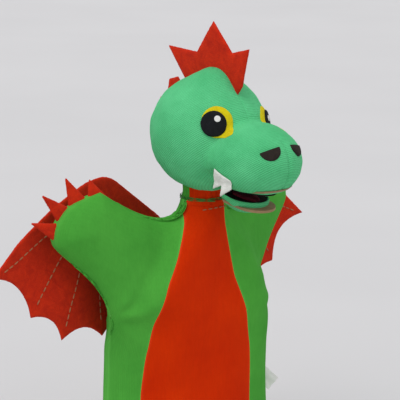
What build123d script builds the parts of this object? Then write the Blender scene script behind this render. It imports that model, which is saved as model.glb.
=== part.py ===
from build123d import *
from math import cos, radians, sin
import os

os.makedirs("parts", exist_ok=True)

# A dragon hand puppet, in millimetres. The puppet faces -Y, its right arm points to -X, +Z is up,
# and the origin is the centre of the hand opening in the hem.

# Driving dimensions
CLOTH = 1.2  # thickness of the cotton glove
KNIT = 1.6  # thickness of the knitted head cover
FELT = 1.8  # thickness of the felt trim
GAP = 0.3  # clearance between neighbouring bodies
SIDES = {"right": -1, "left": 1}

# Glove: height, half width, half depth, how far back the centre is, and turn about Z, per section
GLOVE_SECTIONS = (
    (0, 59, 34, 0, -16),
    (24, 57.5, 32.5, 0, -16),
    (48, 56, 31, 0, -16),
    (72, 55, 30, 0, -16),
    (96, 54, 29, -1, -15),
    (120, 49, 27, -4, -12),
    (143, 37, 23, -8, -7),
    (166, 23, 18, -13, -2),
    (190, 14.5, 14, -16, 0),
)
GLOVE_TOP = 190
WAIST = 66  # height at which the side seams start to lean back with the neck
BELLY_TURN = -22  # the belly faces slightly to the puppet's right
BELLY_EDGE = ((0, 36), (66, 35), (108, 32), (128, 26), (150, 18), (170, 14), (200, 13))
HEM_HEIGHT = 9
ARMHOLE_RADIUS = 9
ARMHOLE_START = (15, -10, 148)  # where the axis of the armhole sets out
ARMHOLE_WAY = (0.84, 0.18, 0.5)
CUT_DEPTH = 60  # deep enough to cut through one side of the glove
LABEL_SPOT = (54, -16.5, 66)
LABEL_SIZE = (19, 9)
LABEL_LENGTH_DIP = -1  # the label hangs at 45 degrees
LABEL_THICKNESS = 0.6

# Neck and head
NECK_Y = -16
BINDING_BOTTOM = 190.3
BINDING_TOP = 193.4
BINDING_RADIUS = 14.5
BINDING_WALL = 2.5
TUBE_BORE = 10
TUBE_RADIUS = 11.2
TUBE_BOTTOM = 197
TUBE_TOP = 243
SKULL = Vector(0, -24, 233)
SKULL_RADIUS = 36
SNOUT = Vector(0, -68, 222)
SNOUT_RADIUS = 24
SNOUT_HALF_WIDTH = 28
CHEEK = Vector(0, -49, 226.5)
CHEEK_RADIUS = 27
LIP_Z = 203  # the flat underside of the upper jaw
LIP_MIDDLE = -72
LIP_LENGTH = 70
PALATE_Y = -66
PALATE_BOARD = 1.5
LINING = 1
EYE_AZIMUTH = 41
EYE_HEIGHT = 18
IRIS_RADIUS = 10
PUPIL_RADIUS = 7.8
GLINT_RADIUS = 1.9
NOSTRIL_AZIMUTH = 36
NOSTRIL_HEIGHT = 29
NOSTRIL_RADIUS = 6.8
NOSTRIL_FELT = 1
PALATE_SIZE = (52, 30)  # stiff board of the upper jaw
PALATE_LINING_SIZE = (36, 24)
DISC_FELT = 0.8  # thickness of the eye discs

# One two-pointed strip on each side, as y and z at TOOTH_X
TOOTH_X = 23.6
TOOTH_FELT = 1
TOOTH_OUTLINE = ((-55, 220), (-51.4, 205.7), (-59.5, 208.9), (-58.7, 202.2), (-66.8, 207.3), (-67, 214))

# Crest outlines, as y and z in the middle plane
CREST_FRONT = ((-50, 264), (-55, 287), (-41, 283.5), (-26, 301.5), (-11, 281.5), (15, 283), (-2, 262))
CREST_REAR = (
    (0, 264), (9, 262), (17, 264), (17, 254), (27, 252), (23, 242), (30, 237), (12, 228), (-4, 250)
)

# Lower jaw, modelled slightly open
JAW_HINGE = Vector(0, -40, 199)
JAW_DROP = 9  # degrees below level at rest
JAW_LENGTH = 36
JAW_HALF_WIDTH = 15
JAW_DEPTH = 11
JAW_DOME_RADIUS = 25  # underside of the jaw
JAW_DOME_CENTRE = 13  # height of the dome's centre above the top of the jaw
JAW_LINING = 0.8
THUMB_POCKET = (15, 5, 22)  # width, height and depth of the pocket in the jaw
THUMB_POCKET_DROP = 5
TONGUE_SIZE = (27, 15)
TONGUE_MIDDLE = -16
TONGUE_FELT = 1

# Arms, each in a vertical plane swept back from the chest
ARM_ROOT = (20, -12)
ARM_SWEEP = 16.5
ARM_HALF_THICKNESS = 9
ARM_TOP = ((13.6, 181), (33, 189.5), (52, 203))
ARM_HAND = ((74.5, 194.5), (82.3, 176))
ARM_UNDER = ((79, 168), (62, 153), (49, 138), (43, 131))
CLAWS = ((55, 203, 57.5, 210), (67, 200, 72.5, 212), (76.5, 192, 88, 203), (81, 181, 95, 187))
CLAW_HALF_BASE = 7
CLAW_ROOT = 6  # length of claw sewn into the hand
ARM_ROOT_OPENING = ((11.4, 175.6), (20.4, 181), (46.2, 137), (37.2, 131.6))

# Wings, flat felt behind the arms
WING_ROOT = (15, 28)
WING_SWEEP = -2
WING_TOP = ((0, 184), (9, 192), (21, 201.5), (30, 205), (45, 203), (72, 190), (98, 174))
WING_TIPS = ((119, 155), (90, 126), (66, 107), (32, 103))
WING_FLOOR = 141
WING_SCALLOP = -0.2  # how far each scallop bends in, as a share of its width


def glove_solid(inset):
    """The glove's outline as a filled solid, made smaller all round by inset."""
    with BuildPart() as solid:
        for height, half_width, half_depth, back, turn in GLOVE_SECTIONS:
            x_way = (cos(radians(turn)), sin(radians(turn)), 0)
            with BuildSketch(Plane(origin=(0, back, height), x_dir=x_way, z_dir=(0, 0, 1))):
                Ellipse(half_width - inset, half_depth - inset)
        loft()
    return solid.part


def arm_plane(side):
    """Upright plane of one arm: local x runs out along the arm, local y is up."""
    out = (side * cos(radians(ARM_SWEEP)), sin(radians(ARM_SWEEP)), 0)
    facing = (out[1], -out[0], 0)
    return Plane(origin=(side * ARM_ROOT[0], ARM_ROOT[1], 0), x_dir=out, z_dir=facing)


def wing_plane(side):
    """Upright plane of one wing: local x runs out along the wing, local y is up."""
    out = (side * cos(radians(WING_SWEEP)), sin(radians(WING_SWEEP)), 0)
    facing = (out[1], -out[0], 0)
    return Plane(origin=(side * WING_ROOT[0], WING_ROOT[1], 0), x_dir=out, z_dir=facing)


def ball(centre, radius):
    """Filled sphere that joins nothing by itself."""
    return Pos(centre) * Sphere(radius, mode=Mode.PRIVATE)


def save(part, node):
    part.label = node
    export_step(part, f"parts/{node}.step")


# ---------------------------------------------------------------- glove

glove_outer = glove_solid(0)
glove_inner = glove_solid(CLOTH)
belly_plane = Plane(origin=(0, 0, 0), x_dir=(cos(radians(BELLY_TURN)), sin(radians(BELLY_TURN)), 0),
                    z_dir=(sin(radians(BELLY_TURN)), -cos(radians(BELLY_TURN)), 0))
hem_plane = Plane.XY.offset(HEM_HEIGHT)
lean_way = Vector(0, NECK_Y, GLOVE_TOP - WAIST).normalized()
side_seam_way = belly_plane.x_dir.cross(lean_way)
side_seam_plane = Plane(origin=(0, 0, WAIST), x_dir=belly_plane.x_dir, z_dir=side_seam_way)

with BuildPart() as glove_shell:
    add(glove_outer)
    add(glove_inner, mode=Mode.SUBTRACT)
    for side in SIDES.values():
        start_x, start_y, start_z = ARMHOLE_START
        way_x, way_y, way_z = ARMHOLE_WAY
        hole_start = Plane(origin=(side * start_x, start_y, start_z), z_dir=(side * way_x, way_y, way_z))
        with BuildSketch(hole_start):
            Circle(ARMHOLE_RADIUS)
        extrude(amount=CUT_DEPTH, mode=Mode.SUBTRACT)

with BuildPart() as belly_cutter:
    with BuildSketch(belly_plane):
        with BuildLine():
            right_edge = [(-half, height) for height, half in BELLY_EDGE]
            left_edge = [(half, height) for height, half in reversed(BELLY_EDGE)]
            Polyline(*right_edge, *left_edge, close=True)
        make_face()
    extrude(amount=CUT_DEPTH, both=True)

with BuildPart() as belly:
    add(glove_shell.part)
    add(belly_cutter.part, mode=Mode.INTERSECT)
    split(bisect_by=side_seam_plane, keep=Keep.TOP)
save(belly.part, "belly_panel")

for name, side in SIDES.items():
    back_seam_plane = Plane(origin=(0, 0, 0), z_dir=belly_plane.x_dir * side)
    with BuildPart() as side_panel:
        add(glove_shell.part)
        split(bisect_by=side_seam_plane, keep=Keep.TOP)
        add(belly_cutter.part, mode=Mode.SUBTRACT)
        split(bisect_by=back_seam_plane, keep=Keep.TOP)
    save(side_panel.part, f"side_panel_{name}")
    with BuildPart() as back_panel:
        add(glove_shell.part)
        split(bisect_by=side_seam_plane, keep=Keep.BOTTOM)
        split(bisect_by=back_seam_plane, keep=Keep.TOP)
    save(back_panel.part, f"back_panel_{name}")

hem_outer = glove_solid(CLOTH + GAP)
hem_inner = glove_solid(2 * CLOTH + GAP)
with BuildPart() as hem:
    add(hem_outer)
    add(hem_inner, mode=Mode.SUBTRACT)
    split(bisect_by=hem_plane, keep=Keep.BOTTOM)
save(hem.part, "hem_turning")

label_way = Vector(cos(radians(BELLY_TURN)), sin(radians(BELLY_TURN)), LABEL_LENGTH_DIP)
label_plane = Plane(origin=LABEL_SPOT, x_dir=label_way, z_dir=belly_plane.z_dir)
with BuildPart() as care_label:
    with BuildSketch(label_plane):
        Rectangle(*LABEL_SIZE)
    extrude(amount=LABEL_THICKNESS)
    add(glove_outer, mode=Mode.SUBTRACT)
save(care_label.part, "care_label")

# ---------------------------------------------------------------- neck binding and finger tube

with BuildPart() as binding:
    with BuildSketch(Plane(origin=(0, NECK_Y, BINDING_BOTTOM), z_dir=(0, 0, 1))):
        Circle(BINDING_RADIUS)
        Circle(BINDING_RADIUS - BINDING_WALL, mode=Mode.SUBTRACT)
    extrude(amount=BINDING_TOP - BINDING_BOTTOM)
    fillet(binding.edges(), BINDING_WALL * 0.4)
save(binding.part, "neck_binding")

with BuildPart() as finger_tube:
    with BuildSketch(Plane(origin=(0, NECK_Y, TUBE_BOTTOM), z_dir=(0, 0, 1))):
        Circle(TUBE_RADIUS)
        Circle(TUBE_BORE, mode=Mode.SUBTRACT)
    extrude(amount=TUBE_TOP - TUBE_BOTTOM)
save(finger_tube.part, "finger_tube")

# ---------------------------------------------------------------- head


def head_solid(inset):
    """Skull and snout as one filled solid, cut flat below the snout by the mouth."""
    with BuildPart() as solid:
        snout = Sphere(SNOUT_RADIUS - inset, mode=Mode.PRIVATE)
        widen = (SNOUT_HALF_WIDTH - inset) / (SNOUT_RADIUS - inset)
        add(Pos(SNOUT) * scale(snout, by=(widen, 1, 1), mode=Mode.PRIVATE))
        add(ball(SKULL, SKULL_RADIUS - inset))
        add(ball(CHEEK, CHEEK_RADIUS - inset))
        with BuildSketch(Plane(origin=(0, LIP_MIDDLE, LIP_Z + inset), z_dir=(0, 0, -1))):
            Rectangle(2 * SKULL_RADIUS, LIP_LENGTH + 2 * inset)
        extrude(amount=SNOUT_RADIUS, mode=Mode.SUBTRACT)
    return solid.part


head_outer = head_solid(0)
head_inner = head_solid(KNIT)
head_outset = head_solid(-NOSTRIL_FELT)

with BuildPart() as tube_space:
    with BuildSketch(Plane(origin=(0, NECK_Y, TUBE_BOTTOM - 10), z_dir=(0, 0, 1))):
        Circle(TUBE_RADIUS)
    extrude(amount=TUBE_TOP - TUBE_BOTTOM + 10)

with BuildPart() as palate_board:
    with BuildSketch(Plane(origin=(0, PALATE_Y, LIP_Z + KNIT), z_dir=(0, 0, 1))):
        SlotOverall(*PALATE_SIZE, rotation=90)
    extrude(amount=PALATE_BOARD)
    add(head_inner, mode=Mode.INTERSECT)
save(palate_board.part, "palate_board")

with BuildPart() as palate_felt:
    with BuildSketch(Plane(origin=(0, PALATE_Y, LIP_Z - LINING), z_dir=(0, 0, 1))):
        SlotOverall(*PALATE_LINING_SIZE, rotation=90)
    extrude(amount=LINING)
save(palate_felt.part, "palate_lining")

with BuildPart() as head_cover:
    add(head_outer)
    add(head_inner, mode=Mode.SUBTRACT)
    add(tube_space.part, mode=Mode.SUBTRACT)
save(head_cover.part, "head_cover")

with BuildPart() as head_filling:
    add(head_inner)
    add(tube_space.part, mode=Mode.SUBTRACT)
    add(palate_board.part, mode=Mode.SUBTRACT)
save(head_filling.part, "head_filling")

# ---------------------------------------------------------------- eyes and nostrils


def skull_plane(azimuth, height):
    """Plane that touches the skull at an azimuth from straight ahead and a height angle."""
    way = Vector(sin(radians(azimuth)) * cos(radians(height)),
                 -cos(radians(azimuth)) * cos(radians(height)), sin(radians(height)))
    across = Vector(cos(radians(azimuth)), sin(radians(azimuth)), 0)
    return Plane(origin=SKULL + way * SKULL_RADIUS, x_dir=across, z_dir=way)


def skull_disc(azimuth, height, radius, start):
    """Felt disc that follows the skull, starting a given height above its surface."""
    with BuildPart() as disc:
        with BuildSketch(skull_plane(azimuth, height)):
            Circle(radius)
        extrude(amount=IRIS_RADIUS, both=True)
        add(ball(SKULL, SKULL_RADIUS + start + DISC_FELT), mode=Mode.INTERSECT)
        add(ball(SKULL, SKULL_RADIUS + start), mode=Mode.SUBTRACT)
        add(head_outer, mode=Mode.SUBTRACT)
    return disc.part


for name, side in SIDES.items():
    azimuth = side * EYE_AZIMUTH
    save(skull_disc(azimuth - side * 3, EYE_HEIGHT + 2, IRIS_RADIUS, 0), f"eye_yellow_{name}")
    save(skull_disc(azimuth, EYE_HEIGHT, PUPIL_RADIUS, DISC_FELT), f"pupil_{name}")
    save(skull_disc(azimuth - side * 3, EYE_HEIGHT + 6, GLINT_RADIUS, 2 * DISC_FELT), f"eye_glint_{name}")

for name, side in SIDES.items():
    azimuth = radians(side * NOSTRIL_AZIMUTH)
    height = radians(NOSTRIL_HEIGHT)
    way = Vector(sin(azimuth) * cos(height), -cos(azimuth) * cos(height), sin(height))
    spot = SNOUT + Vector(way.X * SNOUT_HALF_WIDTH, way.Y * SNOUT_RADIUS, way.Z * SNOUT_RADIUS)
    across = Vector(cos(azimuth), sin(azimuth), side * -0.35)
    with BuildPart() as nostril:
        with BuildSketch(Plane(origin=spot, x_dir=across, z_dir=way)):
            Circle(NOSTRIL_RADIUS)
            with Locations((0, NOSTRIL_RADIUS)):
                Rectangle(2 * NOSTRIL_RADIUS, 2 * NOSTRIL_RADIUS, mode=Mode.SUBTRACT)
        extrude(amount=NOSTRIL_RADIUS, both=True)
        add(head_outset, mode=Mode.INTERSECT)
        add(head_outer, mode=Mode.SUBTRACT)
    save(nostril.part, f"nostril_{name}")

# ---------------------------------------------------------------- teeth

for name, side in SIDES.items():
    tooth_plane = Plane(origin=(side * TOOTH_X, 0, 0), x_dir=(0, 1, 0), z_dir=(1, 0, 0))
    with BuildPart() as tooth_strip:
        with BuildSketch(tooth_plane):
            with BuildLine():
                Polyline(*TOOTH_OUTLINE, close=True)
            make_face()
        extrude(amount=TOOTH_FELT / 2, both=True)
        add(head_outer, mode=Mode.SUBTRACT)
    save(tooth_strip.part, f"tooth_strip_{name}")

# ---------------------------------------------------------------- crest

for node, outline in (("crest_front", CREST_FRONT), ("crest_rear", CREST_REAR)):
    with BuildPart() as crest:
        with BuildSketch(Plane.YZ.offset(-FELT / 2)):
            with BuildLine():
                Polyline(*outline, close=True)
            make_face()
        extrude(amount=FELT)
        add(head_outer, mode=Mode.SUBTRACT)
    save(crest.part, node)

# ---------------------------------------------------------------- lower jaw

jaw_plane = Plane(origin=JAW_HINGE, x_dir=(1, 0, 0),
                  z_dir=(0, -sin(radians(JAW_DROP)), cos(radians(JAW_DROP))))


def jaw_outline(inset):
    """Rounded shovel seen from above; local -y runs forward from the hinge."""
    half = JAW_HALF_WIDTH - inset
    front = JAW_LENGTH - JAW_HALF_WIDTH
    with BuildSketch(jaw_plane) as outline:
        with Locations((0, -front)):
            Circle(half)
        with Locations((0, -front / 2 - 1)):
            Rectangle(2 * half, front - 2)
    return outline.sketch


def jaw_solid(inset):
    """Jaw with a domed underside, flat on top."""
    front = JAW_LENGTH - JAW_HALF_WIDTH
    outline = jaw_outline(inset)
    dome_centre = jaw_plane.from_local_coords(Vector(0, 2 - front, JAW_DOME_CENTRE))
    with BuildPart() as solid:
        add(outline)
        extrude(amount=-(JAW_DEPTH - inset))
        add(ball(dome_centre, JAW_DOME_RADIUS - inset), mode=Mode.INTERSECT)
    return solid.part


jaw_outer = jaw_solid(0)
jaw_inner = jaw_solid(KNIT)
board_outline = jaw_outline(KNIT + 0.6)
lining_outline = jaw_outline(1.2)

with BuildPart() as jaw_pocket:
    pocket_start = jaw_plane.from_local_coords(Vector(0, 2, -THUMB_POCKET_DROP))
    pocket_plane = Plane(origin=pocket_start, x_dir=(1, 0, 0), z_dir=jaw_plane.y_dir * -1)
    with BuildSketch(pocket_plane):
        SlotOverall(*THUMB_POCKET[:2])
    extrude(amount=THUMB_POCKET[2])

with BuildPart() as jaw_cover:
    add(jaw_outer)
    add(jaw_inner, mode=Mode.SUBTRACT)
    add(jaw_pocket.part, mode=Mode.SUBTRACT)
save(jaw_cover.part, "jaw_cover")

with BuildPart() as jaw_board:
    add(board_outline)
    extrude(amount=-PALATE_BOARD)
jaw_board_solid = Pos(jaw_plane.z_dir * -KNIT) * jaw_board.part
with BuildPart() as jaw_stiffener:
    add(jaw_board_solid)
    add(jaw_inner, mode=Mode.INTERSECT)
save(jaw_stiffener.part, "jaw_board")

with BuildPart() as jaw_filling:
    add(jaw_inner)
    add(jaw_stiffener.part, mode=Mode.SUBTRACT)
    add(jaw_pocket.part, mode=Mode.SUBTRACT)
save(jaw_filling.part, "jaw_filling")

with BuildPart() as jaw_lining:
    add(lining_outline)
    extrude(amount=JAW_LINING)
save(jaw_lining.part, "jaw_lining")

tongue_plane = jaw_plane.offset(JAW_LINING)
with BuildPart() as tongue:
    with BuildSketch(tongue_plane):
        with Locations((0, TONGUE_MIDDLE)):
            SlotOverall(*TONGUE_SIZE, rotation=90)
    extrude(amount=TONGUE_FELT)
save(tongue.part, "tongue")

# ---------------------------------------------------------------- arms


def arm_half(side, inset, way):
    """Half of a mitten, from its middle plane outwards along way, made smaller by inset."""
    with BuildPart() as solid:
        with BuildSketch(arm_plane(side)):
            with BuildLine():
                Polyline(*ARM_TOP)
                ThreePointArc(ARM_TOP[-1], *ARM_HAND)
                Polyline(ARM_HAND[-1], *ARM_UNDER, ARM_TOP[0])
            make_face()
            if inset:
                offset(amount=-inset, kind=Kind.INTERSECTION)
        extrude(amount=way * (ARM_HALF_THICKNESS - inset))
    return solid.part


for name, side in SIDES.items():
    plane = arm_plane(side)
    front_way = 1 if plane.z_dir.Y < 0 else -1
    sleeve_halves = []
    for half, way in (("front", front_way), ("back", -front_way)):
        half_outer = arm_half(side, 0, way)
        half_inner = arm_half(side, CLOTH, way)
        sleeve_halves.append(half_outer)
        with BuildPart() as sleeve:
            add(half_outer)
            add(half_inner, mode=Mode.SUBTRACT)
            with BuildSketch(plane):
                with BuildLine():
                    Polyline(*ARM_ROOT_OPENING, close=True)
                make_face()
            extrude(amount=way * (ARM_HALF_THICKNESS - CLOTH), mode=Mode.SUBTRACT)
        save(sleeve.part, f"arm_{name}_{half}")
    with BuildPart() as claws:
        with BuildSketch(plane):
            for base_x, base_y, tip_x, tip_y in CLAWS:
                reach = Vector(tip_x - base_x, tip_y - base_y).normalized()
                spread = Vector(-reach.Y, reach.X) * CLAW_HALF_BASE
                root = Vector(base_x, base_y) - reach * CLAW_ROOT
                with BuildLine():
                    Polyline(root + spread, Vector(tip_x, tip_y), root - spread, close=True)
                make_face()
        extrude(amount=FELT / 2, both=True)
        add(sleeve_halves, mode=Mode.SUBTRACT)
    save(claws.part, f"claws_{name}")

# ---------------------------------------------------------------- wings

for name, side in SIDES.items():
    with BuildPart() as wing:
        with BuildSketch(wing_plane(side)):
            with BuildLine():
                Spline(*WING_TOP)
                Line(WING_TOP[-1], WING_TIPS[0])
                for tip, next_tip in zip(WING_TIPS, WING_TIPS[1:]):
                    width = (Vector(*next_tip) - Vector(*tip)).length
                    SagittaArc(tip, next_tip, WING_SCALLOP * width)
                Line(WING_TIPS[-1], (0, WING_FLOOR))
                Line((0, WING_FLOOR), WING_TOP[0])
            make_face()
        extrude(amount=FELT / 2, both=True)
    save(wing.part, f"wing_{name}")
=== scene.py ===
import math
import random

import bmesh
import bpy
import numpy as np
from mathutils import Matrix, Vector, noise
from mathutils.geometry import delaunay_2d_cdt


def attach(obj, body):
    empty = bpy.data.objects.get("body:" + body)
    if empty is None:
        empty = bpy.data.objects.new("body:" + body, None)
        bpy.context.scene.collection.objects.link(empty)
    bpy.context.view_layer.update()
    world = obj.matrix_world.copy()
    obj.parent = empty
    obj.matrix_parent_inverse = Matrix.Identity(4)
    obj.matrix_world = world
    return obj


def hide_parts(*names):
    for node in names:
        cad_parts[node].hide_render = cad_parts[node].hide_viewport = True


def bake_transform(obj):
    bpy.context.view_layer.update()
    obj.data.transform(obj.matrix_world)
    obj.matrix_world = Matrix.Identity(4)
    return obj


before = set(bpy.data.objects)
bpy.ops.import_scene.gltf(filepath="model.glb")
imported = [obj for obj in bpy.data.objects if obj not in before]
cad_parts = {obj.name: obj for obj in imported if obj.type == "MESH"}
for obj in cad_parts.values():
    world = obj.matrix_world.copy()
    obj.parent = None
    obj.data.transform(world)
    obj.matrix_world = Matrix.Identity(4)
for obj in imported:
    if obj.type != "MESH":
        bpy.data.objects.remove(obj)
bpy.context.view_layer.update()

MM = 0.001
SIDES = {"right": -1, "left": 1}

# The glove's shape, in millimetres, as in the CAD frame: -Y is the front, +Z is up
HEIGHTS = (0, 24, 48, 72, 96, 120, 143, 166, 180, 192)
HALF_WIDTHS = (59, 57.5, 56, 55, 54, 50, 38, 24.5, 17, 14.6)
HALF_DEPTHS = (33, 32, 30.5, 29.5, 29, 27, 23, 18.5, 15.5, 14.2)
BACKS = (0, 0, 0, 0, -1, -4, -8, -13, -15, -16)
TURNS = (-16, -16, -16, -16, -15, -12, -7, -2, 0, 0)
BELLY_RIGHT = (42.5, 42.5, 42.5, 41.5, 40, 38.5, 36, 27, 19.5, 14.2)
BELLY_LEFT = (33.5, 33.5, 33.5, 33, 31.5, 25, 14, 7, 4.5, 5.5)
GLOVE_TOP = 192
ARM_START = 20
ARM_BACK = -12
ARM_SWEEP = math.radians(16.5)
ARM_DEPTH = 10.5
WING_ROOT = (15, 28)
WING_SWEEP = math.radians(-2)
SKULL = np.array((0, -21, 233.0))
SNOUT = np.array((0, -59, 220.5))
BROW = np.array((0, -27, 259.5))
SKULL_RADIUS = 36
BROW_RADIUS = 14
NECK_Y = -16


# ---------------------------------------------------------------- materials

def colour(red, green, blue):
    """Linear colour from display values of 0 to 255."""
    def lin(value):
        value /= 255
        return value / 12.92 if value <= 0.04045 else ((value + 0.055) / 1.055) ** 2.4
    return (lin(red), lin(green), lin(blue), 1)


class Shade:
    """A material's node tree, with short ways to add and join nodes."""

    def __init__(self, name, roughness, sheen=0.0, sheen_tint=(1, 1, 1, 1)):
        self.material = bpy.data.materials.new(name)
        self.material.use_nodes = True
        self.tree = self.material.node_tree
        self.shader = self.tree.nodes["Principled BSDF"]
        self.shader.inputs["Roughness"].default_value = roughness
        self.shader.inputs["Specular IOR Level"].default_value = 0.25
        self.shader.inputs["Sheen Weight"].default_value = sheen
        self.shader.inputs["Sheen Roughness"].default_value = 0.45
        self.shader.inputs["Sheen Tint"].default_value = sheen_tint
        self.place = self.node("ShaderNodeTexCoord").outputs["Object"]

    def node(self, kind, **values):
        made = self.tree.nodes.new(kind)
        for key, value in values.items():
            setattr(made, key, value)
        return made

    def join(self, source, target):
        self.tree.links.new(source, target)

    def turned(self, angles, scale=(1, 1, 1)):
        mapping = self.node("ShaderNodeMapping")
        mapping.inputs["Rotation"].default_value = [math.radians(a) for a in angles]
        mapping.inputs["Scale"].default_value = scale
        self.join(self.place, mapping.inputs["Vector"])
        return mapping.outputs["Vector"]

    def noise(self, scale, detail=3, roughness=0.6, vector=None, distortion=0.0):
        made = self.node("ShaderNodeTexNoise")
        made.inputs["Scale"].default_value = scale
        made.inputs["Detail"].default_value = detail
        made.inputs["Roughness"].default_value = roughness
        made.inputs["Distortion"].default_value = distortion
        self.join(vector or self.place, made.inputs["Vector"])
        return made.outputs["Fac"]

    def wave(self, scale, vector=None, direction="X", distortion=0.0, detail_scale=1.0):
        made = self.node("ShaderNodeTexWave", wave_type="BANDS", bands_direction=direction, wave_profile="SIN")
        made.inputs["Scale"].default_value = scale
        made.inputs["Distortion"].default_value = distortion
        made.inputs["Detail Scale"].default_value = detail_scale
        self.join(vector or self.place, made.inputs["Vector"])
        return made.outputs["Fac"]

    def math(self, operation, first, second):
        made = self.node("ShaderNodeMath", operation=operation)
        for socket, value in zip(made.inputs, (first, second)):
            if isinstance(value, (int, float)):
                socket.default_value = value
            else:
                self.join(value, socket)
        return made.outputs[0]

    def ramp(self, factor, stops):
        made = self.node("ShaderNodeValToRGB")
        elements = made.color_ramp.elements
        while len(elements) < len(stops):
            elements.new(0.5)
        for element, (position, shade) in zip(elements, stops):
            element.position = position
            element.color = shade
        self.join(factor, made.inputs["Fac"])
        return made.outputs["Color"]

    def mix(self, factor, first, second, blend="MIX"):
        made = self.node("ShaderNodeMix", data_type="RGBA", blend_type=blend)
        for socket, value in ((made.inputs[0], factor), (made.inputs[6], first), (made.inputs[7], second)):
            if isinstance(value, (int, float, tuple)):
                socket.default_value = value
            else:
                self.join(value, socket)
        return made.outputs[2]

    def bump(self, height, distance, strength=1.0, below=None):
        made = self.node("ShaderNodeBump")
        made.inputs["Distance"].default_value = distance
        made.inputs["Strength"].default_value = strength
        self.join(height, made.inputs["Height"])
        if below is not None:
            self.join(below, made.inputs["Normal"])
        return made.outputs["Normal"]

    def finish(self, base, normal):
        self.join(base, self.shader.inputs["Base Color"])
        self.join(normal, self.shader.inputs["Normal"])
        return self.material


def cotton(name, light, dark, sheen):
    """Plain-woven cotton: crossed threads, slubs and a faint creased unevenness, with a painted highlight along its
    seams.
    """
    shade = Shade(name, 0.92, sheen, light)
    shade.shader.inputs["Specular IOR Level"].default_value = 0.08
    tilted = shade.turned((0, 0, 8))
    weft = shade.wave(430, tilted, "Z", 0.6, 3.0)
    warp = shade.wave(430, tilted, "X", 0.6, 3.0)
    weave = shade.math("MULTIPLY", weft, warp)
    slubs = shade.noise(900, 2, 0.6, shade.turned((0, 0, 8), (1, 1, 0.12)))
    cloud = shade.noise(28, 4, 0.6)
    base = shade.ramp(cloud, ((0.3, dark), (0.7, light)))
    threads = shade.ramp(weave, ((0.0, (0.80, 0.80, 0.80, 1)), (0.45, (1, 1, 1, 1))))
    base = shade.mix(0.55, base, threads, "MULTIPLY")
    flecks = shade.ramp(slubs, ((0.35, (0.90, 0.90, 0.90, 1)), (0.65, (1.0, 1.0, 1.0, 1))))
    base = shade.mix(0.5, base, flecks, "MULTIPLY")
    # Painted highlight: a paler copy of the colour is mixed in along the seams, where their raised edges catch the
    # light.
    attribute = shade.node("ShaderNodeAttribute", attribute_name="seam_highlight")
    painted_seam_highlight = tuple(min(1.0, value * 1.35 + 0.02) for value in light[:3]) + (1,)
    base = shade.mix(shade.math("MULTIPLY", attribute.outputs["Fac"], 0.5), base, painted_seam_highlight)
    normal = shade.bump(shade.noise(55, 3, 0.5, shade.turned((0, 0, 0), (1, 1, 0.5))), 0.0009, 0.5)
    normal = shade.bump(weave, 0.00025, 0.55, normal)
    return shade.finish(base, normal)


def felt(name, light, dark, scale=1.0):
    """Pressed felt: matted short fibres, mottled colour and a soft nap."""
    shade = Shade(name, 0.95, 0.15, light)
    mottle = shade.noise(160 * scale, 5, 0.7, None, 0.6)
    fibres = shade.noise(1500 * scale, 4, 0.75, shade.turned((20, 35, 10), (1, 0.35, 1)), 1.2)
    crossing = shade.noise(1500 * scale, 4, 0.75, shade.turned((70, -25, 60), (1, 0.35, 1)), 1.2)
    hair = shade.math("MAXIMUM", fibres, crossing)
    base = shade.ramp(mottle, ((0.32, dark), (0.68, light)))
    tips = shade.ramp(hair, ((0.45, (0.78, 0.78, 0.78, 1)), (0.72, (1.12, 1.12, 1.12, 1))))
    base = shade.mix(0.7, base, tips, "MULTIPLY")
    normal = shade.bump(mottle, 0.0006, 0.5)
    normal = shade.bump(hair, 0.00035, 0.6, normal)
    return shade.finish(base, normal)


def knit(name, light, dark):
    """Fine jersey: slanting wales crossed by courses, stretched over stuffing."""
    shade = Shade(name, 0.86, 0.12, light)
    slanted = shade.turned((38, 0, 0))
    wales = shade.wave(300, slanted, "Z", 0.5, 2.2)
    courses = shade.wave(330, slanted, "Y", 0.8, 2.2)
    loops = shade.math("MULTIPLY", wales, shade.math("ADD", shade.math("MULTIPLY", courses, 0.55), 0.45))
    cloud = shade.noise(45, 4, 0.6)
    fuzz = shade.noise(1300, 3, 0.7)
    base = shade.ramp(cloud, ((0.3, dark), (0.7, light)))
    rows = shade.ramp(loops, ((0.0, (0.74, 0.78, 0.76, 1)), (0.5, (1, 1, 1, 1))))
    base = shade.mix(0.75, base, rows, "MULTIPLY")
    specks = shade.ramp(fuzz, ((0.35, (0.9, 0.9, 0.9, 1)), (0.65, (1.05, 1.05, 1.05, 1))))
    base = shade.mix(0.6, base, specks, "MULTIPLY")
    normal = shade.bump(cloud, 0.0008, 0.4)
    normal = shade.bump(loops, 0.0004, 0.7, normal)
    normal = shade.bump(fuzz, 0.00015, 0.5, normal)
    return shade.finish(base, normal)


def paper(name, light, dark, scale=300):
    """Board, tape or printed dots: a fine fibrous grain with slight mottling."""
    shade = Shade(name, 0.7)
    grain = shade.noise(scale, 5, 0.65, shade.turned((0, 0, 20), (1, 0.4, 1)))
    threads = shade.wave(700, None, "Z", 0.4, 2.0)
    base = shade.ramp(grain, ((0.3, dark), (0.7, light)))
    normal = shade.bump(shade.math("ADD", grain, shade.math("MULTIPLY", threads, 0.3)), 0.0002, 0.5)
    return shade.finish(base, normal)


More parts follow.
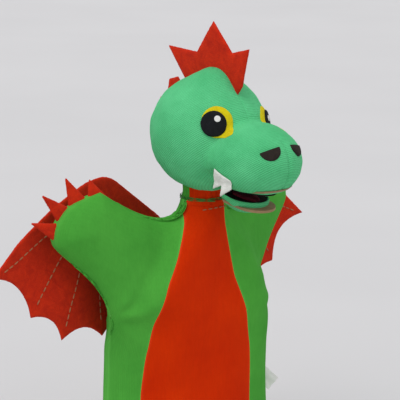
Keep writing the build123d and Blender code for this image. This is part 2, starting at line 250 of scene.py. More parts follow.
GREEN = cotton("green_cotton", colour(84, 176, 66), colour(70, 158, 56), 0.05)
BELLY = cotton("belly_cotton", colour(220, 52, 0), colour(206, 42, 0), 0.02)
RED_FELT = felt("red_felt", colour(214, 46, 8), colour(184, 32, 5))
KNIT = knit("green_knit", colour(96, 208, 142), colour(78, 190, 124))
YELLOW = felt("yellow_felt", colour(222, 206, 10), colour(206, 186, 8))
BLACK = felt("black_felt", colour(24, 27, 31), colour(12, 14, 17))
WHITE_DOT = felt("white_dot", colour(240, 240, 238), colour(222, 222, 220))
BROWN = felt("brown_felt", colour(50, 42, 36), colour(34, 28, 24))
WHITE_FELT = felt("white_felt", colour(236, 238, 232), colour(214, 218, 210))
LINING = felt("black_lining", colour(22, 10, 10), colour(12, 5, 5))
MAROON = felt("maroon_felt", colour(120, 22, 44), colour(86, 14, 32))
THREAD = paper("tan_thread", colour(176, 120, 84), colour(150, 96, 66), 800)
GREEN_THREAD = paper("green_thread", colour(64, 136, 58), colour(46, 108, 44), 800)
LABEL = paper("label_tape", colour(238, 238, 236), colour(224, 224, 222), 500)
BOARD = paper("grey_board", colour(160, 132, 98), colour(136, 110, 80))
STUFFING = felt("stuffing", colour(232, 230, 222), colour(212, 208, 198), 0.3)


# ---------------------------------------------------------------- mesh helpers

def add_object(name, vertices, faces, material, body, replaced=(), smooth=True):
    """A mesh piece in millimetres, with its material, its body and the CAD nodes it stands for."""
    mesh = bpy.data.meshes.new(name)
    mesh.from_pydata([tuple(c * MM for c in v) for v in vertices], [], [tuple(int(i) for i in f) for f in faces])
    mesh.validate()
    mesh.polygons.foreach_set("use_smooth", [smooth] * len(mesh.polygons))
    mesh.materials.append(material)
    piece = bpy.data.objects.new(name, mesh)
    bpy.context.collection.objects.link(piece)
    if body:
        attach(piece, body)
    if replaced:
        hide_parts(*replaced)
    return piece


def apply_modifier(piece, kind, **values):
    modifier = piece.modifiers.new(kind.title(), kind)
    for key, value in values.items():
        setattr(modifier, key, value)
    bpy.context.view_layer.objects.active = piece
    with bpy.context.temp_override(object=piece, active_object=piece, selected_objects=[piece]):
        bpy.ops.object.modifier_apply(modifier=modifier.name)
    return piece


def recalculate(piece):
    """Turns every face outwards."""
    mesh = bmesh.new()
    mesh.from_mesh(piece.data)
    bmesh.ops.recalc_face_normals(mesh, faces=mesh.faces)
    mesh.to_mesh(piece.data)
    mesh.free()


def smooth_step(low, high, value):
    t = np.clip((value - low) / (high - low), 0, 1)
    return t * t * (3 - 2 * t)


def along(points, count):
    """Evenly spaced points along a polyline, rounded by a running average."""
    points = np.array(points, float)
    lengths = np.r_[0, np.cumsum(np.linalg.norm(np.diff(points, axis=0), axis=1))]
    where = np.linspace(0, lengths[-1], count)
    return np.stack([np.interp(where, lengths, points[:, i]) for i in range(points.shape[1])], axis=1)


def rounded(points, rounds):
    """Softens a polyline's corners but keeps its ends."""
    points = points.copy()
    for _ in range(rounds):
        points[1:-1] = (points[:-2] + 2 * points[1:-1] + points[2:]) / 4
    return points


def grid_faces(rows, columns):
    return [(r * columns + c, r * columns + c + 1, (r + 1) * columns + c + 1, (r + 1) * columns + c)
            for r in range(rows - 1) for c in range(columns - 1)]


# ---------------------------------------------------------------- glove

DENSE = np.linspace(0, GLOVE_TOP, 400)


def profile(values):
    """A section size at every height, with the steps between sections smoothed out."""
    table = np.interp(DENSE, HEIGHTS, values)
    padded = np.pad(table, 12, mode="reflect", reflect_type="odd")
    kernel = np.hanning(25)[1:-1]
    return np.convolve(padded, kernel / kernel.sum(), mode="same")[12:-12]


WIDTH_AT, DEPTH_AT, BACK_AT = profile(HALF_WIDTHS), profile(HALF_DEPTHS), profile(BACKS)
TURN_AT = profile(TURNS)
BELLY_AT = {-1: profile(BELLY_RIGHT), 1: profile(BELLY_LEFT)}


def at(table, height):
    return np.interp(height, DENSE, table)


# Outline of the glove's right half from the hem round the arm to the neck: distance out, height
FLANK = [(59, 0), (57.8, 20), (56.5, 48), (55.8, 72), (55.8, 92), (56.6, 106), (59.5, 117), (64.2, 126)]
ARM_OUTLINE = [(66.2, 131), (69.4, 137), (75.2, 145.5), (82.2, 153), (90.1, 160.3), (97, 166.4), (101, 171)]
HAND_OUTLINE = [(102.4, 176), (101.4, 182), (98.6, 188), (94.2, 193), (88.5, 196.8), (80, 200), (71.5, 202.6)]
SHOULDER = [(64.4, 197.4), (53.3, 189.8), (41.5, 183.4), (33, 180.8), (25, 180.2), (19, 182.8), (15.6, 187.5),
            (14.6, 192)]
OUTLINE = np.concatenate([
    rounded(along(FLANK + ARM_OUTLINE, 130), 14),
    rounded(along([ARM_OUTLINE[-1]] + HAND_OUTLINE, 60), 6)[1:],
    rounded(along([HAND_OUTLINE[-1]] + SHOULDER, 70), 8)[1:]])


def arm_share(out, height):
    """0 on the trunk and 1 on the arm."""
    return smooth_step(-26, 6, (out - 48.3) * 0.86 + (height - 156) * 0.51)


def outline_distance(out, height):
    """Distance of flat positions from the nearest stretch of the outline."""
    best = np.full(out.shape, 1e9)
    for (ax, ay), (bx, by) in zip(OUTLINE[:-1], OUTLINE[1:]):
        dx, dy = bx - ax, by - ay
        share = np.clip(((out - ax) * dx + (height - ay) * dy) / (dx * dx + dy * dy), 0, 1)
        best = np.minimum(best, np.hypot(out - ax - share * dx, height - ay - share * dy))
    return best


def glove_surface(across, height, front, lift=0.0):
    """Point of the glove: across is measured from the middle, front is 1 for the front and -1 for the back."""
    across, height = np.asarray(across, float), np.asarray(height, float)
    out, side = np.abs(across), np.where(across < 0, -1, 1)
    gap = outline_distance(out, height)
    arm = arm_share(out, height)
    reach = at(WIDTH_AT, height) * (1 - arm) + 23 * arm
    thickness = at(DEPTH_AT, height) * (1 - arm) + ARM_DEPTH * arm
    round_off = np.sqrt(np.clip(1 - (1 - np.clip(gap / reach, 0, 1)) ** 2, 0, 1))
    root = (out - 44) * 0.86 + (height - 152) * 0.51
    crease = 1 - 0.30 * np.exp(-(root / 8) ** 2) * smooth_step(118, 150, height)
    depth = thickness * round_off * crease + 0.5 * np.clip(gap / 3, 0, 1)
    depth = depth + wrinkles(across, height, front) * np.clip(gap / 6, 0, 1)
    middle_y = at(BACK_AT, height) * (1 - arm) + (ARM_BACK + (out - ARM_START) * math.sin(ARM_SWEEP)) * arm
    x = side * (out * (1 - arm) + (ARM_START + (out - ARM_START) * math.cos(ARM_SWEEP)) * arm)
    turn = np.radians(at(TURN_AT, height)) * (1 - arm)
    off_y = -front * (depth + lift)
    x, off_y = x * np.cos(turn) - off_y * np.sin(turn), x * np.sin(turn) + off_y * np.cos(turn)
    return np.stack([x, middle_y + off_y, height], axis=-1)


def wrinkles(across, height, front):
    """Soft folds: slack waves on the trunk and pulls that fan out from the underarm."""
    out = np.abs(across)
    away = np.hypot(out - 66, height - 122)
    angle = np.arctan2(height - 122, 66 - out)
    pulls = np.sin(angle * 7 + np.sign(across) * 0.8 + front) * np.exp(-away / 26) * smooth_step(3, 14, away) * 1.5
    slack = np.sin(height * 0.055 + across * 0.035 + front) + 0.6 * np.sin(across * 0.14 - height * 0.03 + front)
    sag = np.sin(height * 0.11 - across * 0.06 + front) * smooth_step(150, 60, height)
    return pulls + 0.55 * slack + 0.35 * sag


# Stores how strongly each point gets the painted seam highlight of the cotton material.
def mark_edges(piece, values):
    attribute = piece.data.attributes.new("seam_highlight", "FLOAT", "POINT")
    attribute.data.foreach_set("value", np.asarray(values, np.float32))


PANEL_ROWS = 230


def cloth_panel(name, across, height, front, closeness, material, flip, replaced):
    """A glove panel as a thin sheet over a grid of flat positions, its seams marked for the material's painted
    highlight.
    """
    rows, columns = across.shape
    points = glove_surface(across, height, front).reshape(-1, 3)
    faces = grid_faces(rows, columns)
    if flip:
        faces = [face[::-1] for face in faces]
    piece = add_object(name, points, faces, material, None)
    mark_edges(piece, np.exp(-(closeness.reshape(-1) / 0.8) ** 2))
    apply_modifier(piece, "SOLIDIFY", thickness=0.0007, offset=-1)
    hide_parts(*replaced)
    return piece


def make_belly():
    """The belly panel, between its right and left edges."""
    heights = np.linspace(0, GLOVE_TOP, PANEL_ROWS)
    right, left = at(BELLY_AT[-1], heights)[:, None], at(BELLY_AT[1], heights)[:, None]
    share = np.linspace(0, 1, 61)[None, :]
    across = -right * (1 - share) + left * share
    closeness = np.minimum(across + right, left - across)
    height = np.repeat(heights[:, None], 61, axis=1)
    piece = cloth_panel("belly_panel_cloth", across, height, 1, closeness, BELLY, False,
                        ["belly_panel"])
    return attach(piece, "glove")


def half_panel(side, front):
    """A side or back panel with its half of the sleeve, from the inner seam out to the outline."""
    name = "right" if side < 0 else "left"
    inner = np.stack([BELLY_AT[side] if front > 0 else DENSE * 0, DENSE], axis=1)
    inner = along(inner, PANEL_ROWS)
    outer = along(OUTLINE, PANEL_ROWS)
    share = np.linspace(0, 1, 70)[None, :, None]
    flat = inner[:, None, :] * (1 - share) + outer[:, None, :] * share
    for _ in range(60):
        flat[1:-1, 1:-1] = (flat[:-2, 1:-1] + flat[2:, 1:-1] + flat[1:-1, :-2] + flat[1:-1, 2:]) / 4
    inner_gap = np.linalg.norm(flat - flat[:, :1], axis=-1)
    outer_gap = np.linalg.norm(flat - flat[:, -1:], axis=-1)
    kind = "side" if front > 0 else "back"
    half = "front" if front > 0 else "back"
    piece = cloth_panel(f"{kind}_panel_cloth_{name}", side * flat[..., 0], flat[..., 1], front,
                        np.minimum(inner_gap, outer_gap), GREEN, (side > 0) != (front > 0),
                        [f"{kind}_panel_{name}", f"arm_{name}_{half}"])
    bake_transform(piece)
    return piece


make_belly()
for side in SIDES.values():
    for front in (1, -1):
        half_panel(side, front)


# ---------------------------------------------------------------- head

HEAD_MIDDLE = np.array((0, -42, 227.0))
SNOUT_SIZES = np.array((28.5, 30.3, 23.4))
UP = np.array((0, 0, 1.0))


def unit(vectors):
    return vectors / np.linalg.norm(vectors, axis=-1, keepdims=True)


def soft_min(first, second, blend):
    share = np.clip(0.5 + 0.5 * (second - first) / blend, 0, 1)
    return second * (1 - share) + first * share - blend * share * (1 - share)


def lip_height(x, y):
    """Height of the upper lip: flat at the front, rising towards the corners of the mouth."""
    return 202.2 + 4.5 * (np.abs(x) / 23) ** 2 + 8 * smooth_step(-68, -50, y) * smooth_step(12, 25, np.abs(x))


def head_field(points):
    """Negative inside the stuffed head, about the distance to its surface outside."""
    skull = np.linalg.norm(points - SKULL, axis=-1) - SKULL_RADIUS
    brow = np.linalg.norm(points - BROW, axis=-1) - BROW_RADIUS
    snout = (np.linalg.norm((points - SNOUT) / SNOUT_SIZES, axis=-1) - 1) * 24
    body = soft_min(soft_min(skull, brow, 8), snout, 2.6)
    x, y, z = points[..., 0], points[..., 1], points[..., 2]
    mouth = np.where(y < -34, lip_height(x, y) - z, -40 + 0 * z)
    mouth = mouth - 14 * smooth_step(-44, -34, y)
    return -soft_min(-body, -mouth, 2.5)


def head_point(start, ways, lift=0.0):
    """Where rays from a point inside the head leave its surface, pushed out by lift."""
    ways = unit(ways)
    far = np.zeros(ways.shape[:-1])
    for _ in range(60):
        far = far - 0.8 * head_field(start + ways * far[..., None])
    return start + ways * (far + lift)[..., None]


def knit_unevenness(points):
    """Lumps of stuffing, and the soft grooves where the cover is pulled in."""
    lumps = np.array([noise.noise(Vector(p * 0.075)) * 0.75 + noise.noise(Vector(p * 0.19)) * 0.28 for p in points])
    x, y, z = points[:, 0], points[:, 1], points[:, 2]
    seam = -1.0 * np.exp(-(x / 0.9) ** 2) * smooth_step(-78, -86, y)
    top_seam = -0.5 * np.exp(-(x / 0.8) ** 2) * smooth_step(240, 250, z)
    pull = 0
    for side in SIDES.values():
        for spot, depth, size in (((27, -52, 216), 1.4, 4.0), ((21, -80, 237), 0.6, 3.0)):
            away = np.linalg.norm(points - np.array((spot[0] * side, spot[1], spot[2])), axis=1)
            pull = pull - depth * np.exp(-(away / size) ** 2)
    return lumps + seam + top_seam + pull


def make_head():
    """The knitted head: rays from its middle, stopped where they leave the stuffed shape."""
    rows, columns = 190, 300
    polar = np.linspace(0.004, math.pi - 0.004, rows)[:, None]
    around = np.linspace(0, 2 * math.pi, columns, endpoint=False)[None, :]
    ways = np.stack([np.sin(polar) * np.cos(around), np.sin(polar) * np.sin(around),
                     np.cos(polar) + 0 * around], axis=-1).reshape(-1, 3)
    points = head_point(HEAD_MIDDLE, ways)
    points = points + ways * knit_unevenness(points)[:, None]
    faces = []
    for r in range(rows - 1):
        for c in range(columns):
            n = (c + 1) % columns
            faces.append((r * columns + c, (r + 1) * columns + c, (r + 1) * columns + n, r * columns + n))
    faces.append(list(range(columns)))
    faces.append([(rows - 1) * columns + c for c in range(columns)][::-1])
    head = add_object("head_knit", points, faces, KNIT, "head", ["head_cover", "head_filling"])


def domed_patch(name, start, middle_way, across_way, radius, low, thick, material, body, replaced, keep=None):
    """Felt shape lying on the head: a rounded-edged patch drawn round a direction from start."""
    rings, spokes = 16, 72
    middle = head_point(start, middle_way[None, :])[0]
    normal = unit(middle_way)
    first = unit(across_way - normal * (across_way @ normal))
    second = np.cross(normal, first)
    rng = random.Random(len(name))
    ragged = [1 + 0.012 * rng.uniform(-1, 1) for _ in range(spokes)]
    vertices, faces = [], []
    for r in range(rings + 1):
        share = math.sin(r / rings * math.pi / 2)
        for s in range(spokes):
            angle = 2 * math.pi * s / spokes
            a, b = math.cos(angle) * radius * ragged[s] * share, math.sin(angle) * radius * ragged[s] * share
            if keep is not None:
                b = min(b, keep)
            vertices.append((a, b, share))
        if r:
            faces += [((r - 1) * spokes + s, r * spokes + s, r * spokes + (s + 1) % spokes,
                       (r - 1) * spokes + (s + 1) % spokes) for s in range(spokes)]
    table = np.array(vertices)
    spots = middle + table[:, :1] * first + table[:, 1:2] * second
    crown = np.sqrt(np.clip(1 - table[:, 2] ** 10, 0, 1)) * thick
    points = head_point(start, spots - start)
    out = unit(spots - start)
    points = points + out * (low + crown)[:, None]
    under = points[-spokes:] - out[-spokes:] * (low + 1.2)
    points = np.concatenate([points, under])
    last = (rings + 1) * spokes
    faces += [(last - spokes + s, last + s, last + (s + 1) % spokes, last - spokes + (s + 1) % spokes)
              for s in range(spokes)]
    return add_object(name, points, faces, material, body, replaced)


def from_angles(azimuth, height):
    a, h = math.radians(azimuth), math.radians(height)
    return np.array((math.sin(a) * math.cos(h), -math.cos(a) * math.cos(h), math.sin(h)))


def make_face():
    """Eyes and nostrils; the left eye is sewn a little lower than the right."""
    for name, side in SIDES.items():
        across = np.array((math.cos(math.radians(side * 40)), math.sin(math.radians(side * 40)), 0))
        dip = 7 if side > 0 else 0
        domed_patch(f"eye_yellow_felt_{name}", SKULL, from_angles(side * 35.5, 19.5 - dip),
                    across, 10, -0.2, 1.3, YELLOW,
                    "head", [f"eye_yellow_{name}"])
        domed_patch(f"pupil_felt_{name}", SKULL, from_angles(side * 39.4, 17.5 - dip), across, 7.9, 0.6, 1.6, BLACK,
                    "head", [f"pupil_{name}"])
        domed_patch(f"eye_glint_felt_{name}", SKULL, from_angles(side * 35.9, 21.6 - dip),
                    across, 1.9, 1.9, 0.6, WHITE_DOT,
                    "head", [f"eye_glint_{name}"])
        azimuth = math.radians(side * 36)
        slanted = np.array((math.cos(azimuth), math.sin(azimuth), side * -0.35))
        way = from_angles(side * 25, 28) * SNOUT_SIZES
        domed_patch(f"nostril_felt_{name}", SNOUT, unit(way), slanted, 6.9, -0.2, 1.3, BROWN,
                    "head", [f"nostril_{name}"], 0.0)


# ---------------------------------------------------------------- felt pieces

def dense_outline(points, spacing):
    """A closed outline with points at even spacing that keeps its corners."""
    dense = []
    for first, second in zip(points, np.roll(points, -1, axis=0)):
        count = max(1, round(np.linalg.norm(second - first) / spacing))
        dense += [first + (second - first) * k / count for k in range(count)]
    return np.array(dense)


def inside(points, outline):
    x, y = points[:, 0], points[:, 1]
    found = np.zeros(len(points), bool)
    for (ax, ay), (bx, by) in zip(outline, np.roll(outline, -1, axis=0)):
        crosses = (ay > y) != (by > y)
        with np.errstate(divide="ignore", invalid="ignore"):
            found ^= crosses & (x < (bx - ax) * (y - ay) / (by - ay) + ax)
    return found


def edge_distance(points, outline):
    best = np.full(len(points), 1e9)
    for a, b in zip(outline, np.roll(outline, -1, axis=0)):
        d = b - a
        t = np.clip(((points - a) @ d) / max(d @ d, 1e-9), 0, 1)
        best = np.minimum(best, np.linalg.norm(points - a - t[:, None] * d, axis=1))
    return best


def felt_piece(name, outlines, place, thickness, material, body, replaced, spacing=1.6):
    """Felt cut to one or more outlines: a closed shape with soft edges. place(u, v, w) gives its points."""
    vertices, faces, area = [], [], 0.0
    rng = random.Random(7)
    for outline in outlines:
        edge = dense_outline(np.array(outline, float), spacing * 0.6)
        edge = edge + np.array([(rng.uniform(-0.1, 0.1), rng.uniform(-0.1, 0.1)) for _ in edge])
        low, high = edge.min(axis=0), edge.max(axis=0)
        grid = np.stack(np.meshgrid(np.arange(low[0], high[0], spacing), np.arange(low[1], high[1], spacing)),
                        axis=-1).reshape(-1, 2)
        grid = grid[inside(grid, edge)]
        grid = grid[edge_distance(grid, edge) > thickness * 0.9 + spacing * 0.4]
        ring = []
        for share in (0.18, 0.55, 1.0):
            step = share * thickness * 0.9
            tangent = np.roll(edge, -1, axis=0) - np.roll(edge, 1, axis=0)
            normal = unit(np.stack([tangent[:, 1], -tangent[:, 0]], axis=-1) + 1e-9)
            for sign in (-1, 1):
                shifted = edge + normal * step * sign
                keep = inside(shifted, edge) & (edge_distance(shifted, edge) > step * 0.9)
                ring.append(shifted[keep])
        flat = np.concatenate([edge] + ring + [grid])
        count = len(edge)
        made = delaunay_2d_cdt([Vector(p) for p in flat], [(k, (k + 1) % count) for k in range(count)], [], 1, 1e-4)
        spots = np.array([(p.x, p.y) for p in made[0]])
        triangles = [tuple(f) for f in made[2]]
        away = edge_distance(spots, edge)
        rim = away < 1e-3
        half = thickness / 2 * np.sqrt(np.clip(1 - (1 - np.clip(away / (thickness * 0.9), 0, 1)) ** 2, 0, 1))
        top = place(spots[:, 0], spots[:, 1], half)
        bottom = place(spots[:, 0], spots[:, 1], -half)
        start = len(vertices)
        vertices += list(top)
        lower = {}
        for k in range(len(spots)):
            if rim[k]:
                lower[k] = start + k
            else:
                lower[k] = len(vertices)
                vertices.append(bottom[k])
        faces += [tuple(start + k for k in f) for f in triangles]
        faces += [tuple(lower[k] for k in f)[::-1] for f in triangles]
        for f in triangles:
            a, b, c = (spots[k] for k in f[:3])
            area += abs((b[0] - a[0]) * (c[1] - a[1]) - (b[1] - a[1]) * (c[0] - a[0])) / 2
    piece = add_object(name, vertices, faces, material, body, replaced)
    recalculate(piece)
    return piece, area


CREST_FRONT = ((-50, 264), (-55, 287), (-41, 283.5), (-26, 301.5), (-11, 281.5), (15, 283), (-2, 262), (-6, 255),
               (-42, 253))
CREST_REAR = ((2, 258), (6, 264.5), (13.9, 262.2), (15.4, 254), (22.4, 249.7), (19.7, 240.9), (22.4, 235.3),
              (13, 230), (0, 245))
TOOTH_OUTLINE = ((-55.5, 219), (-51.4, 205.7), (-59.5, 208.9), (-58.7, 202.2), (-66.8, 207.3), (-67, 213))
CLAWS = ((55, 203, 57.5, 210), (67, 200, 72.5, 212), (76.5, 192, 88, 203), (81, 181, 95, 187))


def make_crest():
    """Front and rear crest in the middle plane, leaning slightly at the tips."""
    def place(u, v, w):
        lean = 0.9 * np.sin(u * 0.09 + 0.4) * smooth_step(268, 300, v)
        return np.stack([w + lean, u, v], axis=-1)
    felt_piece("crest_front_felt", [CREST_FRONT], place, 2.4, RED_FELT, "head", ["crest_front"], 1.2)
    felt_piece("crest_rear_felt", [CREST_REAR], place, 2.4, RED_FELT, "head", ["crest_rear"], 1.2)


def make_teeth():
    """A two-pointed strip on each side that hangs from the snout just above the lip."""
    for name, side in SIDES.items():
        def place(u, v, w, side=side):
            level = np.maximum(v, 210.5)
            share = 1 - ((u + 59) / 30.5) ** 2 - ((level - 220.5) / 23.5) ** 2
            x = 28.5 * np.sqrt(np.clip(share, 0, 1)) + 0.9 + 0.05 * (215 - v)
            return np.stack([side * (x + w), u, v], axis=-1)
        felt_piece(f"tooth_strip_felt_{name}", [TOOTH_OUTLINE], place, 1.3, WHITE_FELT, "head",
                   [f"tooth_strip_{name}"], 0.8)


def arm_point(side, u, v, w):
    c, s = math.cos(ARM_SWEEP), math.sin(ARM_SWEEP)
    return np.stack([side * (ARM_START + u * c - w * s), ARM_BACK + u * s + w * c, v], axis=-1)


def make_claws():
    """Four felt points along the end seam of each hand."""
    outlines = []
    for base_u, base_v, tip_u, tip_v in CLAWS:
        base, tip = np.array((base_u, base_v)), np.array((tip_u, tip_v))
        reach = unit(tip - base)
        spread = np.array((-reach[1], reach[0])) * 7
        root = base - reach * 7
        outlines.append((root + spread, tip + spread * 0.06, tip - spread * 0.06, root - spread))
    for name, side in SIDES.items():
        def place(u, v, w, side=side):
            return arm_point(side, u, v, w + 0.5 * np.sin(u * 0.2))
        felt_piece(f"claws_felt_{name}", outlines, place, 2.2, RED_FELT, f"arm_{name}", [f"claws_{name}"],
                   1.0)


WING_INNER = {"right": ((-22, 150), (-22, 170), (-11, 178)), "left": ((12, 145), (12, 184))}
WING_TOP = ((21, 202), (30, 205), (45, 203), (72, 190), (98, 174), (119, 155))
WING_TIPS = ((119, 155), (90, 126), (66, 107), (32, 103))
WING_RIBS = (((42, 168), (52, 148), (60, 128), (64, 114)), ((36, 166), (36, 140), (34, 120), (33, 110)),
             ((48, 176), (66, 158), (82, 138), (88, 130)), ((50, 184), (78, 174), (100, 162), (112, 157)))


def wing_outline(inner):
    points = rounded(along(inner + WING_TOP, 90), 5)
    edges = [points]
    for k, (tip, next_tip) in enumerate(zip(WING_TIPS, WING_TIPS[1:])):
        tip, next_tip = np.array(tip, float), np.array(next_tip, float)
        way = next_tip - tip
        inward = np.array((way[1], -way[0]))
        share = np.linspace(0, 1, 24)[1:, None]
        edges.append(tip + way * share + inward * 0.2 * 4 * share * (1 - share))
    return np.concatenate(edges)


def wing_bend(u, v):
    """How far the wing's felt curls backwards or forwards from flat."""
    curl = 1.6 * np.sin(u * 0.05 + v * 0.02) * smooth_step(12, 60, u)
    return curl + 0.8 * np.sin(v * 0.11 + u * 0.04) * smooth_step(20, 50, u)


def wing_point(side, u, v, w):
    c, s = math.cos(WING_SWEEP), math.sin(WING_SWEEP)
    w = w + wing_bend(u, v)
    return np.stack([side * (WING_ROOT[0] + u * c - w * s), WING_ROOT[1] + u * s + w * c, v], axis=-1)


def make_wings():
    for name, side in SIDES.items():
        outline = wing_outline(WING_INNER[name])
        def place(u, v, w, side=side):
            return wing_point(side, u, v, w)
        wing, area = felt_piece(f"wing_felt_{name}", [outline], place, 2.0, RED_FELT, f"wing_{name}",
                                [f"wing_{name}"], 2.0)
        lines = []
        for rib in WING_RIBS:
            flat = rounded(along(rib, 40), 4)
            for face in (-1.15, 1.15):
                lines.append(wing_point(side, flat[:, 0], flat[:, 1], np.full(len(flat), face)))
        stitches(f"wing_stitches_{name}", lines, 3.4, 1.0, 0.42, THREAD, f"wing_{name}")


def stitches(name, lines, length, gap, radius, material, body):
    """Short raised threads along lines, each dipping into the cloth at its ends."""
    vertices, faces = [], []
    for line in lines:
        steps = np.r_[0, np.cumsum(np.linalg.norm(np.diff(line, axis=0), axis=1))]
        for begin in np.arange(0.5, steps[-1] - length, length + gap):
            where = np.linspace(begin, begin + length, 7)
            spine = np.stack([np.interp(where, steps, line[:, k]) for k in range(3)], axis=-1)
            way = unit(spine[-1] - spine[0])
            one = unit(np.cross(way, UP if abs(way[2]) < 0.9 else np.array((1.0, 0, 0))))
            two = np.cross(way, one)
            start = len(vertices)
            for k, spot in enumerate(spine):
                thick = radius * math.sqrt(max(0.0, 1 - ((k - 3) / 3.2) ** 2)) + 0.02
                vertices += [spot + (one * math.cos(t) + two * math.sin(t)) * thick
                             for t in np.linspace(0, 2 * math.pi, 6, endpoint=False)]
            faces += [(start + k * 6 + t, start + k * 6 + (t + 1) % 6, start + (k + 1) * 6 + (t + 1) % 6,
                       start + (k + 1) * 6 + t) for k in range(6) for t in range(6)]
            faces += [tuple(start + t for t in range(6))[::-1], tuple(start + 36 + t for t in range(6))]
    return add_object(name, vertices, faces, material, body)


# ---------------------------------------------------------------- jaw, mouth, neck, hem and label

JAW_HINGE = np.array((0, -40, 199.0))
JAW_DROP = math.radians(9)
JAW_HALF = 13.5
JAW_LENGTH = 28.5


def jaw_point(across, forward, up):
    """Jaw coordinates to the frame: forward from the hinge, up from the flat of the jaw."""
    c, s = math.cos(JAW_DROP), math.sin(JAW_DROP)
    return np.stack([across, JAW_HINGE[1] - forward * c - up * s, JAW_HINGE[2] - forward * s + up * c], axis=-1)


def jaw_rim(angle, grow=0.0):
    """Rim of the jaw, a rounded shovel that starts just behind the hinge, made wider by grow."""
    half, front = JAW_HALF + grow, JAW_LENGTH - JAW_HALF
    x, y = np.sin(angle) * half, np.cos(angle) * half
    return x, np.where(y > 0, front + y, front + y * (front + 4) / half)


def make_jaw():
    """The stuffed jaw, from the bowl of the mouth out over its rolled rim and round underneath."""
    angles = np.linspace(0, 2 * math.pi, 120, endpoint=False)
    rings = 40
    points = []
    for r in range(rings + 1):
        share = r / rings
        if share < 0.3:
            inner = share / 0.3
            scale, up = 0.55 + 0.35 * inner, -2.2 + 2.2 * inner ** 2
        elif share < 0.5:
            roll = (share - 0.3) / 0.2 * math.pi
            scale, up = 0.95 - 0.05 * math.cos(roll), 1.5 * math.sin(roll)
        else:
            dome = (share - 0.5) / 0.5 * math.pi / 2
            scale, up = math.cos(dome), -8.5 * math.sin(dome)
        x, y = jaw_rim(angles)
        middle = JAW_LENGTH * 0.42
        points.append(jaw_point(x * scale, middle + (y - middle) * scale, up + 0 * x))
    points = np.concatenate(points)
    faces = []
    for r in range(rings):
        for k in range(120):
            n = (k + 1) % 120
            faces.append((r * 120 + k, r * 120 + n, (r + 1) * 120 + n, (r + 1) * 120 + k))
    faces.append(tuple(range(120))[::-1])
    lumps = np.array([noise.noise(Vector(p * 0.12)) * 0.5 for p in points])
    points = points + unit(points - jaw_point(np.array(0.0), np.array(12.0), np.array(-3.0))) * lumps[:, None]
    jaw = add_object("jaw_knit", points, faces, KNIT, "jaw", ["jaw_cover", "jaw_filling"])
    recalculate(jaw)


def make_mouth():
    """Black lining of the jaw, the tongue on it, and the black lining of the palate."""
    angles = np.linspace(0, 2 * math.pi, 80, endpoint=False)
    x, y = jaw_rim(angles, -1.6)
    outline = np.stack([x, y], axis=-1)

    def lining(u, v, w):
        rise = 0.9 * (np.abs(u) / 11) ** 2 + 0.9 * smooth_step(16, 26, v)
        return jaw_point(u, v, -0.6 + rise + w)
    felt_piece("jaw_lining_cloth", [outline], lining, 1.0, LINING, "jaw", ["jaw_lining"], 1.4)
    tongue = [(6.4 * math.sin(t), 13 + 10 * math.cos(t) + 1 * math.cos(2 * t)) for t in angles]

    def tongue_place(u, v, w):
        return jaw_point(u, v, 0.9 + 0.6 * np.sin(v * 0.16) - 0.5 * np.exp(-(u / 1.2) ** 2) + w)
    felt_piece("tongue_felt", [tongue], tongue_place, 1.4, MAROON, "jaw", ["tongue"], 1.0)
    palate = [(11 * math.sin(t), -60 - 16 * math.cos(t)) for t in angles]

    def palate_place(u, v, w):
        return np.stack([u, v, lip_height(u, v) - 0.5 + w], axis=-1)
    felt_piece("palate_lining_cloth", [palate], palate_place, 1.0, LINING, "head", ["palate_lining"],
               1.4)


def ring_surface(name, levels, material, body, replaced):
    """A closed tube round the neck or hem: each level gives a function from angle to a point."""
    count = 240
    angles = np.linspace(0, 2 * math.pi, count, endpoint=False)
    points = np.concatenate([level(angles) for level in levels])
    rows = len(levels)
    faces = [(r * count + k, r * count + (k + 1) % count, ((r + 1) % rows) * count + (k + 1) % count,
              ((r + 1) % rows) * count + k) for r in range(rows) for k in range(count)]
    piece = add_object(name, points, faces, material, body, replaced)
    recalculate(piece)
    return piece


def make_neck():
    """Gathered cloth from the top of the glove up to the head, belly cloth in front and green behind."""
    count, rows = 240, 26
    angles = np.linspace(0, 2 * math.pi, count, endpoint=False)
    ways = np.stack([np.cos(angles), np.sin(angles), 0 * angles], axis=-1)
    start = np.array((0, NECK_Y, 216.0))
    top = head_point(start, ways * 13.2 + np.array((0, 0, -16.0)))
    bottom = np.stack([14.5 * ways[:, 0], NECK_Y + 14.3 * ways[:, 1], np.full(count, 189.0)], axis=-1)
    points = []
    for share in np.linspace(0, 1, rows):
        waist = 0.9 * math.sin(share * math.pi)
        gathers = (0.42 * np.sin(angles * 23 + 1.6 * np.sin(angles * 4)) + 0.3 * np.sin(angles * 9 + 2)) * (
            0.25 + 0.75 * share)
        spot = bottom * (1 - share) + (top + np.array((0, 0, 0.8))) * share
        points.append(spot + ways * (gathers - waist)[:, None])
    points = np.concatenate(points)
    faces = [(r * count + k, r * count + (k + 1) % count, (r + 1) * count + (k + 1) % count, (r + 1) * count + k)
             for r in range(rows - 1) for k in range(count)]
    piece = add_object("neck_gathers", points, faces, GREEN, None)
    piece.data.materials.append(BELLY)
    mark_edges(piece, np.zeros(len(points)))
    for face in piece.data.polygons:
        x, y = face.center.x / MM, face.center.y / MM - NECK_Y
        azimuth = math.degrees(math.atan2(x, -y))
        face.material_index = 1 if -84 < azimuth < 22 else 0
    apply_modifier(piece, "SOLIDIFY", thickness=0.0008, offset=-1)
    recalculate(piece)
    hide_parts("neck_binding")
    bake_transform(piece)
    loops = []
    for height in (191.6, 192.5, 193.3):
        turn = np.linspace(0, 2 * math.pi, 160)
        radius = 14.0 + 0.15 * np.sin(turn * 7 + height)
        loops.append(np.stack([radius * np.cos(turn), NECK_Y + radius * np.sin(turn),
                               height + 0.25 * np.sin(turn * 3 + height)], axis=-1))
    stitches("neck_thread", loops, 7.0, 0.1, 0.3, GREEN_THREAD, "neck")


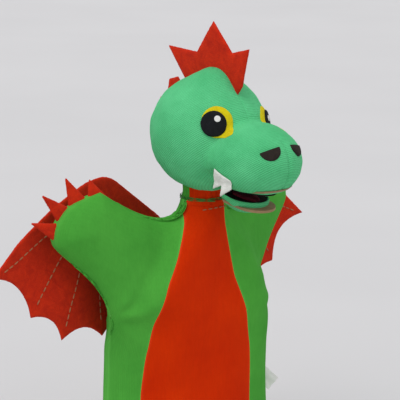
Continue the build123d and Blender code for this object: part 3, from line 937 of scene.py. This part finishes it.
def make_hem():
    """The hem, turned up inside the hand opening."""
    def level(height, lift):
        def spots(angles):
            width, depth = at(WIDTH_AT, max(height, 0)) - lift, at(DEPTH_AT, max(height, 0)) - lift
            turn = math.radians(at(TURN_AT, 0))
            x, y = width * np.cos(angles), depth * np.sin(angles)
            ripple = 0.18 * np.sin(angles * 40) * (1 if height > 8 else 0)
            return np.stack([x * math.cos(turn) - y * math.sin(turn), x * math.sin(turn) + y * math.cos(turn),
                             height + ripple + 0 * angles], axis=-1)
        return spots
    levels = [level(h, 1.9) for h in np.linspace(-0.3, 9, 10)] + [level(h, 2.7) for h in np.linspace(9, -0.3, 10)]
    ring_surface("hem_fold", levels, GREEN, "glove", ["hem_turning"])


def make_label():
    """Blank care label, sewn in at one end and curling away at the other."""
    along_way = unit(np.array((math.cos(math.radians(-22)), math.sin(math.radians(-22)), -1.0)))
    out = np.array((math.sin(math.radians(-22)), -math.cos(math.radians(-22)), 0.0))
    down = np.cross(out, along_way)
    middle = np.array((54, -16.5, 66.0))
    outline = [(-9.5, -5), (9.5, -5), (9.5, 5), (-9.5, 5)]

    def place(u, v, w):
        curl = 1.5 * smooth_step(-2, 9.5, u) ** 2 + 0.2 * np.sin(v * 0.9)
        return middle + u[:, None] * along_way + v[:, None] * down + (w + curl)[:, None] * out
    label, area = felt_piece("care_label_tape", [outline], place, 0.35, LABEL, "glove", ["care_label"],
                             0.6)


def make_belly_stitches():
    across = np.linspace(-10.5, 10.5, 60)
    line = glove_surface(across, 187.5 - 0.012 * across ** 2, 1, 0.5)
    stitches("belly_top_stitches", [line], 2.6, 1.0, 0.35, THREAD, "glove")


make_head()
make_face()
make_crest()
make_teeth()
make_claws()
make_wings()
make_jaw()
make_mouth()
make_neck()
make_hem()
make_label()
make_belly_stitches()

for node in ("finger_tube", "palate_board", "jaw_board"):
    part = bpy.data.objects.get(node)
    if part is not None:
        for holder in part.material_slots:
            holder.material = BOARD


# ---------------------------------------------------------------- camera, light and floor

TARGET = Vector((1.65, -11.6, 188.7)) * MM
CAMERA_AZIMUTH, CAMERA_ELEVATION = math.radians(-44), math.radians(12)
CAMERA_DISTANCE = 1.2
LENS = 174


def make_camera():
    away = Vector((math.sin(CAMERA_AZIMUTH) * math.cos(CAMERA_ELEVATION),
                   -math.cos(CAMERA_AZIMUTH) * math.cos(CAMERA_ELEVATION), math.sin(CAMERA_ELEVATION)))
    camera = bpy.data.objects.new("camera", bpy.data.cameras.new("camera"))
    bpy.context.collection.objects.link(camera)
    camera.location = TARGET + away * CAMERA_DISTANCE
    camera.rotation_euler = away.to_track_quat("Z", "Y").to_euler()
    camera.data.lens = LENS
    camera.data.sensor_width = 36
    bpy.context.scene.camera = camera


def make_lights():
    for name, azimuth, elevation, angle, power in (("key", -80, 58, 40, 1.35), ("fill", 10, 40, 60, 0.35)):
        light = bpy.data.lights.new(name, "SUN")
        light.energy, light.angle = power, math.radians(angle)
        lamp = bpy.data.objects.new(name, light)
        bpy.context.collection.objects.link(lamp)
        a, e = math.radians(azimuth), math.radians(elevation)
        way = Vector((math.sin(a) * math.cos(e), -math.cos(a) * math.cos(e), math.sin(e)))
        lamp.rotation_euler = way.to_track_quat("Z", "Y").to_euler()
    world = bpy.data.worlds.new("studio")
    world.use_nodes = True
    world.node_tree.nodes["Background"].inputs[0].default_value = (0.97, 0.96, 0.97, 1)
    world.node_tree.nodes["Background"].inputs[1].default_value = 0.68
    bpy.context.scene.world = world
    bpy.context.scene.view_settings.view_transform = "Standard"


def make_floor():
    shade = Shade("studio_floor", 0.9)
    base = shade.ramp(shade.noise(3, 2), ((0.3, (0.60, 0.60, 0.61, 1)), (0.7, (0.62, 0.62, 0.63, 1))))
    material = shade.finish(base, shade.bump(shade.noise(40), 0.0002, 0.2))
    floor = add_object("studio_floor", [(-9000, -9000, -1), (9000, -9000, -1), (9000, 9000, -1), (-9000, 9000, -1)],
                       [(0, 1, 2, 3)], material, None)


make_camera()
make_lights()
make_floor()
